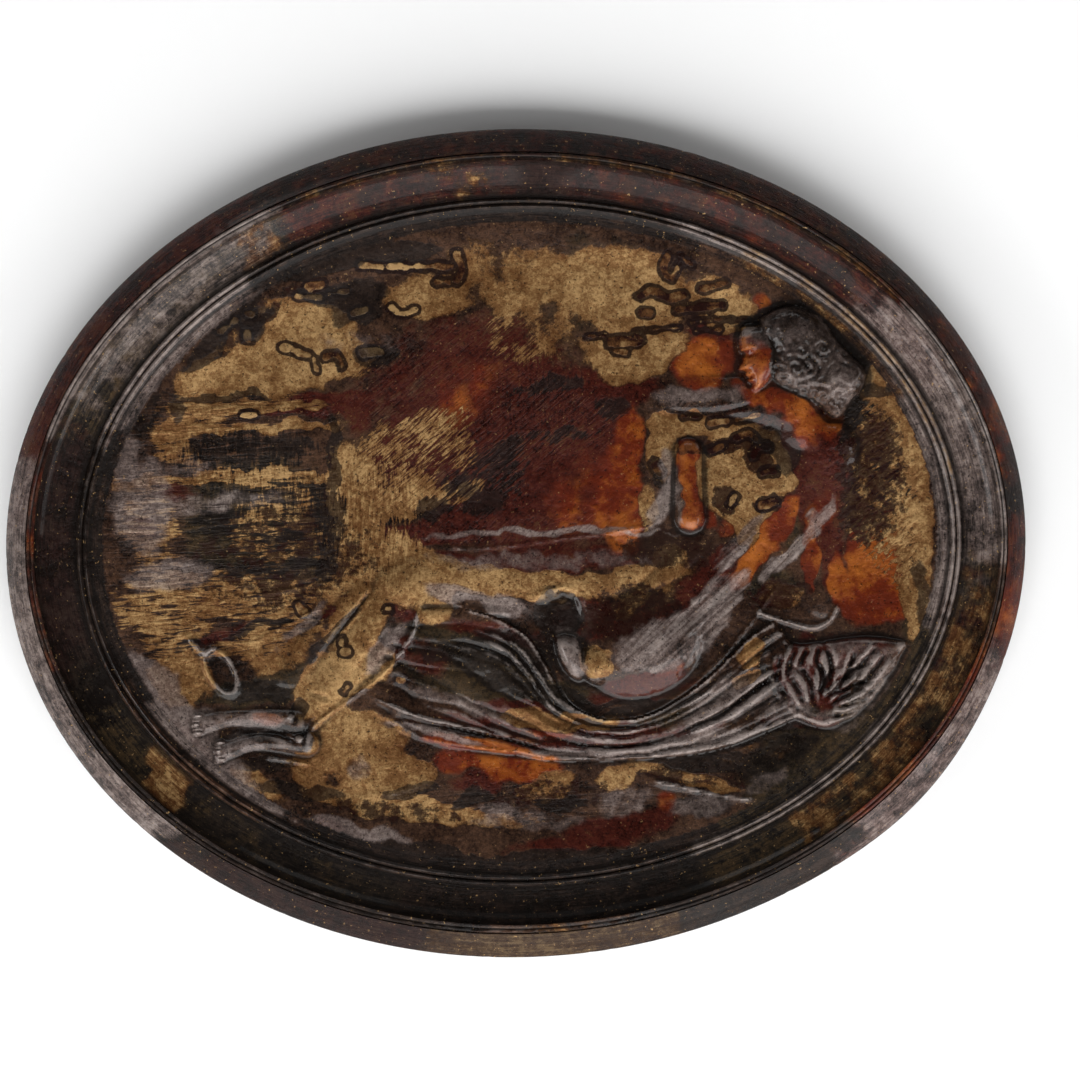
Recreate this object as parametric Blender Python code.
"""Oval cast-bronze relief plaque: a moulded frame around a reclining figure, all one casting.

Run with: blender --background --python part.py
The plaque stands upright in the XZ plane, its face towards -Y and its flat back at Y = 0.
The relief is worked out in millimetres: u to the right, v up, height out from the back.
"""
import math

import bmesh
import bpy
import numpy as np

MM = 0.001

# Driving sizes, in millimetres
HALF_WIDTH = 120.0
HALF_HEIGHT = 97.5
EDGE_HEIGHT = 6.0           # plain edge, back to the foot of the outer chamfer
CREST_HEIGHT = 10.6         # top of the fillet, the highest part of the plaque
CREST_MARGIN = 1.0          # relief within this of the crest is eased down, and stays under it
FIELD_HEIGHT = 4.5          # ground of the relief
DISH_RISE = 1.3             # how far the ground rises towards the frame
SWELL = 1.2                 # the casting bulges a little at the lower right
SWELL_ANGLE = math.radians(-40)
SWELL_SPREAD = math.radians(14)
OVAL_SHIFT = (1.0, 0.3)     # the inner mouldings sit a little off centre

# Mesh resolution
AROUND = 360
FIELD_ROWS = 112
TARGET_TRIANGLES = 8400

BRONZE = (0.20, 0.11, 0.06, 1.0)

# The frame's mouldings, outside in: (inset at the sides, inset at top and bottom, height)
MOULDINGS = [
    (0.0, 0.0, 0.0),
    (0.0, 0.0, EDGE_HEIGHT),
    (5.0, 6.0, CREST_HEIGHT - 0.6),
    (5.3, 6.3, CREST_HEIGHT),
    (7.0, 8.2, CREST_HEIGHT),
    (7.2, 8.4, CREST_HEIGHT - 0.8),
    (9.2, 10.4, 8.2),
    (12.0, 13.0, 6.7),
    (15.7, 16.4, 6.1),
    (16.5, 17.2, 6.8),
    (17.3, 17.9, 6.3),
    (18.0, 18.6, 6.8),
    (18.8, 19.4, 6.4),
    (21.3, 21.8, FIELD_HEIGHT + DISH_RISE),
]

# Limbs: stations (u, v, radius, height) along each one
TORSO = [
    (61, 20, 17.5, 4.2), (55, 10, 17, 4.5), (48.5, -1, 13.5, 4.1), (41, -10, 15, 4.6), (32.5, -19, 18.5, 5.0),
    (23, -24.5, 14.5, 4.7),
]
THIGH = [
    (31, -14, 17.5, 4.9), (12, -10, 12, 4.7), (1, -9.5, 10, 4.4), (-9, -8.5, 8.2, 4.2), (-20, -8.3, 8.2, 4.1),
    (-26.5, -9.5, 7.6, 4.1),
]
SHIN = [(-27.5, -12, 7.6, 4.0), (-33, -20, 7.3, 3.9), (-40, -28, 6.0, 3.5), (-50, -40.5, 3.2, 2.8)]
FAR_SHIN = [(-37, -12, 4.2, 1.7), (-46, -20, 4.2, 1.7), (-55, -31, 3.0, 1.4)]
UPPER_ARM = [(66, 31, 6.4, 3.2), (53, 33.3, 4.8, 1.7), (42, 34, 4.2, 1.2), (32.5, 33.2, 4.0, 1.0)]
FOREARM = [(30.6, 32.6, 4.6, 0.9), (28.4, 22, 4.6, 0.8), (26.8, 11, 4.2, 0.9), (26, 3, 3.8, 1.3)]
PROP_ARM = [(74.5, 21, 7.0, 4.6), (74, 8.5, 6.0, 3.0), (72, -6, 4.8, 2.7), (71.8, -16, 4.2, 2.8)]
NECK = [(61, 38, 5, 3.4), (68.5, 26, 6, 4.0)]
CHEST = [(41.3, 20.5, 3.4, 3.4), (41.0, 12, 3.6, 3.7), (41.2, 5, 3.8, 4.0)]
FOOT_NEAR = [(-50.5, -46, 3.2, 3.2), (-56, -45.6, 2.6, 2.7), (-63, -45.3, 2.2, 2.3), (-71, -47.2, 2.4, 2.4)]
FOOT_FAR = [(-52.5, -41, 3.2, 2.6), (-60, -39.6, 2.6, 2.2), (-68, -39.2, 2.6, 2.1), (-76, -40.8, 2.6, 2.1)]
BACK_FURROW = [(69, 8), (60, -4), (51, -12.5), (44, -20)]
FURROW_DEPTH = 0.85
HIP_HOLLOW = (10.5, -17.0, 4.2, 5.0, 15, 2.1)       # centre, half sizes, turn, depth

# Domes: (u, v, half width, half height, turn in degrees, height)
HAIR = [(69.5, 44, 10.5, 10.0, -30, 4.9), (78, 36, 6.5, 6.0, 0, 4.7), (74, 31, 6, 4.5, 30, 4.2)]
FACE = [(60.5, 42.5, 5.5, 8.5, -12, 3.7)]
SHOULDER = [(73, 20.5, 7.5, 6.5, 0, 4.9), (64, 28, 8, 6, 20, 4.2)]
BUTTOCK = [(29.5, -24.5, 15.5, 12.5, 25, 6.0), (12.3, -26.5, 3.3, 7.0, 22, 4.7), (19, -29, 5, 5, 0, 5.0)]
CUSHION = [(73, -34, 16.0, 11.5, 8, 3.4), (84, -29.5, 8.5, 6, 5, 2.9)]
CUSHION_CREASES = [
    [(65.5, -26), (64, -33), (66, -38), (69, -41.5)], [(71.2, -25.5), (70, -30), (71, -36), (72.5, -39)],
    [(74, -38), (78.6, -33), (83.5, -26.5)], [(76, -39.6), (83, -37.4), (88, -32.5)],
    [(64, -42.8), (71, -45.4), (79, -42.6)],
]
CREASE_WIDTH = 0.9
CREASE_DEPTH = 0.8

# The cloth under the figure: its upper and lower edges, and the folds run between them
CLOTH_TOP = [
    (-24, -15), (-11, -15.5), (1, -21), (6.5, -29), (11, -37.5), (20, -42), (31, -41), (43, -34), (54, -24),
    (61, -19.5),
]
CLOTH_FOOT = [
    (-40, -37), (-31, -42), (-20, -46.8), (-2.5, -50), (9, -52), (29, -52), (47, -50), (62, -44.5), (74, -39),
]
CLOTH_END = (61.0, -19.5, 0.667)                    # a point on the cloth's right end, and how it leans
CLOTH_FOLDS = 5
CLOTH_HEIGHT = 1.3
FOLD_DEPTH = 0.9

# Low carving behind the figure
WALL_BLOCK = (-97.0, -43.5, -14.0, 35.0, 0.7)       # left, right, foot, top, height
CORNICE = [(-84, 34.5), (-37, 34)]
GROUND_EDGE = [(-60, -61), (-45, -64), (-31, -66.5), (-17, -69), (-9, -71), (5, -73.5)]
BRANCH = [(29, -56.5), (37, -58.5), (47, -60.5), (57, -62)]
LOOP = (-70.0, -28.5, 3.6, 6.0, 28.0, 1.5, 1.4)     # centre, half sizes, turn, stroke, height


def ease(value):
    """Zero below 0, one above 1, smooth between."""
    clipped = np.clip(value, 0.0, 1.0)
    return clipped * clipped * (3.0 - 2.0 * clipped)


def soft_max(first, second, softness):
    """The larger of two heights, with the crease between them rounded."""
    return 0.5 * (first + second + np.sqrt((first - second) ** 2 + softness ** 2) - softness)


def smooth_path(points, steps=6):
    """A Catmull-Rom curve through the points, each a row of any width."""
    points = np.asarray(points, dtype=float)
    ends = np.vstack([2 * points[0] - points[1], points, 2 * points[-1] - points[-2]])
    rows = []
    for index in range(len(points) - 1):
        before, start, end, after = ends[index:index + 4]
        for step in range(steps):
            t = step / steps
            rows.append(0.5 * (2 * start + (end - before) * t
                               + (2 * before - 5 * start + 4 * end - after) * t * t
                               + (3 * start - before - 3 * end + after) * t ** 3))
    rows.append(points[-1])
    return np.array(rows)


def limb(u, v, stations):
    """A rounded, tapered limb through its stations, zero outside them."""
    path = smooth_path(stations)
    best = np.zeros_like(u)
    for start, end in zip(path[:-1], path[1:]):
        step_u, step_v = end[0] - start[0], end[1] - start[1]
        along = (u - start[0]) * step_u + (v - start[1]) * step_v
        along = np.clip(along / (step_u ** 2 + step_v ** 2), 0.0, 1.0)
        gap = np.hypot(u - start[0] - along * step_u, v - start[1] - along * step_v)
        radius = start[2] + along * (end[2] - start[2])
        height = start[3] + along * (end[3] - start[3])
        best = np.maximum(best, height * np.sqrt(np.clip(1.0 - (gap / radius) ** 2, 0.0, 1.0)))
    return best


def oval_distance(u, v, centre_u, centre_v, half_u, half_v, turn):
    """0 at the centre of a turned oval and 1 on its edge."""
    cosine, sine = math.cos(math.radians(turn)), math.sin(math.radians(turn))
    across = (u - centre_u) * cosine + (v - centre_v) * sine
    upward = (v - centre_v) * cosine - (u - centre_u) * sine
    return np.hypot(across / half_u, upward / half_v)


def domes(u, v, shapes):
    """Rounded bosses run together."""
    best = np.zeros_like(u)
    for centre_u, centre_v, half_u, half_v, turn, height in shapes:
        away = oval_distance(u, v, centre_u, centre_v, half_u, half_v, turn)
        best = soft_max(best, height * np.sqrt(np.clip(1.0 - away ** 2, 0.0, 1.0)), 0.6)
    return best


def path_gap(u, v, points):
    """Distance to a curve, and the side of it (+1 on its left)."""
    path = smooth_path(points)
    gap = np.full_like(u, 1e9)
    side = np.ones_like(u)
    for start, end in zip(path[:-1], path[1:]):
        step_u, step_v = end[0] - start[0], end[1] - start[1]
        along = (u - start[0]) * step_u + (v - start[1]) * step_v
        along = np.clip(along / (step_u ** 2 + step_v ** 2), 0.0, 1.0)
        here = np.hypot(u - start[0] - along * step_u, v - start[1] - along * step_v)
        turn = np.sign(step_u * (v - start[1]) - step_v * (u - start[0]))
        nearer = here < gap
        gap = np.where(nearer, here, gap)
        side = np.where(nearer, turn, side)
    return gap, side


def ridge(u, v, points, width, height):
    """A rounded ridge along a curve."""
    gap, _ = path_gap(u, v, points)
    return height * np.exp(-(gap / width) ** 2)


def cloth(u, v):
    """The spread cloth, with long folds that run from its upper edge to its lower one."""
    below, side_below = path_gap(u, v, CLOTH_FOOT)
    above, side_above = path_gap(u, v, CLOTH_TOP)
    inside = (side_below > 0) & (side_above < 0)
    across = below / (below + above + 1e-6)
    folds = 0.5 + 0.5 * np.cos(2 * math.pi * CLOTH_FOLDS * across)
    end_u, end_v, lean = CLOTH_END
    rim = ease(below / 1.6) * ease((u + 42.0) / 14.0) * ease((end_u - lean * (v - end_v) - u) / 3.0)
    return np.where(inside, rim * (CLOTH_HEIGHT + FOLD_DEPTH * folds), 0.0)


def cushion(u, v):
    """The gathered bundle, its creases drawn together at the middle of its foot."""
    body = domes(u, v, CUSHION)
    for points in CUSHION_CREASES:
        body = body - CREASE_DEPTH * ease(body / 2.0) * ridge(u, v, points, CREASE_WIDTH, 1.0)
    return body


def figure_body(u, v):
    """Trunk, legs and neck of the figure, with the furrow of its back and the hollow at its hip."""
    body = soft_max(limb(u, v, TORSO), domes(u, v, SHOULDER), 1.6)
    for piece, softness in ((THIGH, 1.8), (SHIN, 0.9), (PROP_ARM, 0.9), (NECK, 1.4), (CHEST, 0.35)):
        body = soft_max(body, limb(u, v, piece), softness)
    body = soft_max(body, domes(u, v, BUTTOCK), 0.9)
    skin = ease(body / 2.0)
    body = body - FURROW_DEPTH * skin * ridge(u, v, BACK_FURROW, 1.7, 1.0)
    hollow_u, hollow_v, half_u, half_v, turn, depth = HIP_HOLLOW
    away = oval_distance(u, v, hollow_u, hollow_v, half_u, half_v, turn)
    return body - depth * skin * ease((1.0 - away) / 0.45)


def wall_block(u, v):
    """The low courses of masonry at the left, and their cornice."""
    left, right, foot, top, height = WALL_BLOCK
    mask = ease((u - left) / 6.0) * ease((right - u) / 1.5) * ease((v - foot) / 18.0) * ease((top - v) / 1.5)
    return height * mask + ridge(u, v, CORNICE, 1.8, 0.7)


def relief(u, v):
    """Height of the carving above the ground of the field."""
    loop_u, loop_v, half_u, half_v, turn, stroke, loop_height = LOOP
    height = wall_block(u, v)
    ground, side = path_gap(u, v, GROUND_EDGE)
    height += np.where((side > 0) | (u > 5), 0.0, -0.9 * ease(ground / 1.0))
    height += ridge(u, v, BRANCH, 1.2, 0.9)
    ring = np.abs(oval_distance(u, v, loop_u, loop_v, half_u, half_v, turn) - 1.0) * half_u
    height = np.maximum(height, loop_height * np.exp(-(ring / stroke) ** 2))
    height = np.maximum(height, cloth(u, v))
    height = soft_max(height, limb(u, v, FAR_SHIN), 0.3)
    for foot in (FOOT_FAR, FOOT_NEAR):
        height = soft_max(height, limb(u, v, foot), 0.2)
    height = soft_max(height, cushion(u, v), 0.3)
    height = soft_max(height, figure_body(u, v), 0.2)
    for piece in (UPPER_ARM, FOREARM):
        height = soft_max(height, limb(u, v, piece), 0.8)
    height = soft_max(height, domes(u, v, FACE), 0.4)
    return soft_max(height, domes(u, v, HAIR), 0.4)


def ring_points(index, angles):
    """Points round one of the frame's mouldings."""
    inset_u, inset_v, height = MOULDINGS[index]
    shift = min(inset_u / MOULDINGS[-1][0], 1.0)
    away = (angles - SWELL_ANGLE + math.pi) % (2 * math.pi) - math.pi
    bulge = SWELL * np.exp(-(away / SWELL_SPREAD) ** 2) * (1.0 - ease(inset_u / 5.0))
    u = OVAL_SHIFT[0] * shift + (HALF_WIDTH - inset_u + bulge) * np.cos(angles)
    v = OVAL_SHIFT[1] * shift + (HALF_HEIGHT - inset_v + bulge) * np.sin(angles)
    return u, v, np.full_like(u, height)


def surface_rows():
    """Every row of the face, from the back's edge in to the middle."""
    angles = np.linspace(0.0, 2 * math.pi, AROUND + 1)
    rows = [ring_points(index, angles) for index in range(len(MOULDINGS))]
    edge_u, edge_v, _ = rows[-1]
    centre_u, centre_v = OVAL_SHIFT
    for row in range(1, FIELD_ROWS + 1):
        share = 1.0 - row / FIELD_ROWS
        u = centre_u + (edge_u - centre_u) * share
        v = centre_v + (edge_v - centre_v) * share
        dish = DISH_RISE * ease((share - 0.86) / 0.14)
        fade = ease((1.0 - share) / 0.03)
        height = FIELD_HEIGHT + dish + fade * relief(u, v)
        over = np.maximum(height - (CREST_HEIGHT - CREST_MARGIN), 0.0)
        height = height - over + CREST_MARGIN * (1.0 - np.exp(-over / CREST_MARGIN))
        rows.append((u, v, height))
    return rows


def bronze_material():
    material = bpy.data.materials.new("bronze")
    material.use_nodes = True
    shader = material.node_tree.nodes["Principled BSDF"]
    shader.inputs["Base Color"].default_value = BRONZE
    shader.inputs["Metallic"].default_value = 0.85
    shader.inputs["Roughness"].default_value = 0.38
    return material


def build_plaque(collection):
    """Wrap a grid round the oval, shape it, close its back and thin it out."""
    rows = surface_rows()
    mesh = bpy.data.meshes.new("plaque")
    shape = bmesh.new()
    bmesh.ops.create_grid(shape, x_segments=AROUND, y_segments=len(rows) - 1, size=0.5)
    shape.verts.ensure_lookup_table()
    for vertex in shape.verts:
        column = round((vertex.co.x + 0.5) * AROUND)
        row = round((vertex.co.y + 0.5) * (len(rows) - 1))
        u, v, height = rows[row]
        vertex.co = (u[column] * MM, -height[column] * MM, v[column] * MM)
    bmesh.ops.remove_doubles(shape, verts=shape.verts, dist=0.00002)
    bmesh.ops.holes_fill(shape, edges=[edge for edge in shape.edges if edge.is_boundary], sides=0)
    bmesh.ops.triangulate(shape, faces=shape.faces)
    bmesh.ops.recalc_face_normals(shape, faces=shape.faces)
    full_count = len(shape.faces)
    shape.to_mesh(mesh)
    shape.free()
    mesh.materials.append(bronze_material())
    plaque = bpy.data.objects.new("plaque", mesh)
    collection.objects.link(plaque)
    thin = plaque.modifiers.new("thin", "DECIMATE")
    thin.decimate_type = "COLLAPSE"
    thin.ratio = TARGET_TRIANGLES / full_count
    mesh.shade_smooth()
    mesh.set_sharp_from_angle(angle=math.radians(35))
    return plaque


def main():
    for item in list(bpy.data.objects):
        bpy.data.objects.remove(item, do_unlink=True)
    collection = bpy.data.collections.new("relief_plaque")
    bpy.context.scene.collection.children.link(collection)
    build_plaque(collection)


main()
